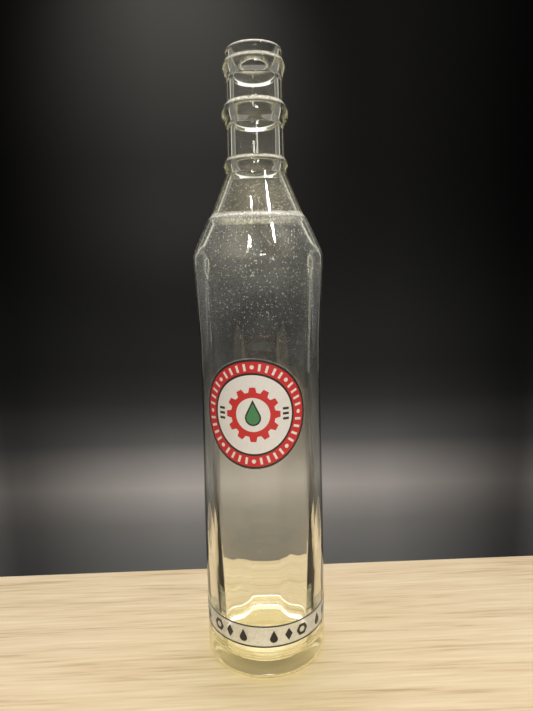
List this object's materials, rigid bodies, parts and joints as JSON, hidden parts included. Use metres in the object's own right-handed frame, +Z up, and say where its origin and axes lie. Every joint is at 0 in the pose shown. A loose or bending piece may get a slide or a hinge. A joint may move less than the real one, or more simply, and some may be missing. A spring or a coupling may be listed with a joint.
{
  "type": "oil bottle",
  "caption": "Tall clear glass oil bottle: waisted round body, cone shoulder, ringed spout neck with an open mouth, and a round emblem decal above a band decal.",
  "frame": {"origin": "middle of the base, on the surface that the bottle stands on", "axes": "+Z up along the bottle's axis, -Y out through the middle of the emblem"},
  "size_m": [0.077, 0.077, 0.3683],
  "materials": {
    "bottle_glass": "clear flint glass with a faint yellow-green tint",
    "clear_film": "clear glossy decal film",
    "frosted_film": "milky decal film",
    "black_ink": "glossy printed ink",
    "red_ink": "glossy printed ink",
    "white_ink": "glossy printed ink",
    "green_ink": "glossy printed ink"
  },
  "bodies": {
    "root": {"glass_bottle": "bottle_glass", "emblem_film": "clear_film", "emblem_outer_line": "black_ink", "emblem_red_ring": "red_ink", "emblem_ring_marks": "white_ink", "emblem_inner_line": "black_ink", "emblem_white_field": "white_ink", "emblem_cog": "red_ink", "emblem_drop_outline": "black_ink", "emblem_drop": "green_ink", "emblem_side_bars": "black_ink", "band_film": "frosted_film", "band_border_lines": "black_ink", "band_marks": "black_ink"}
  },
  "joints": []
}
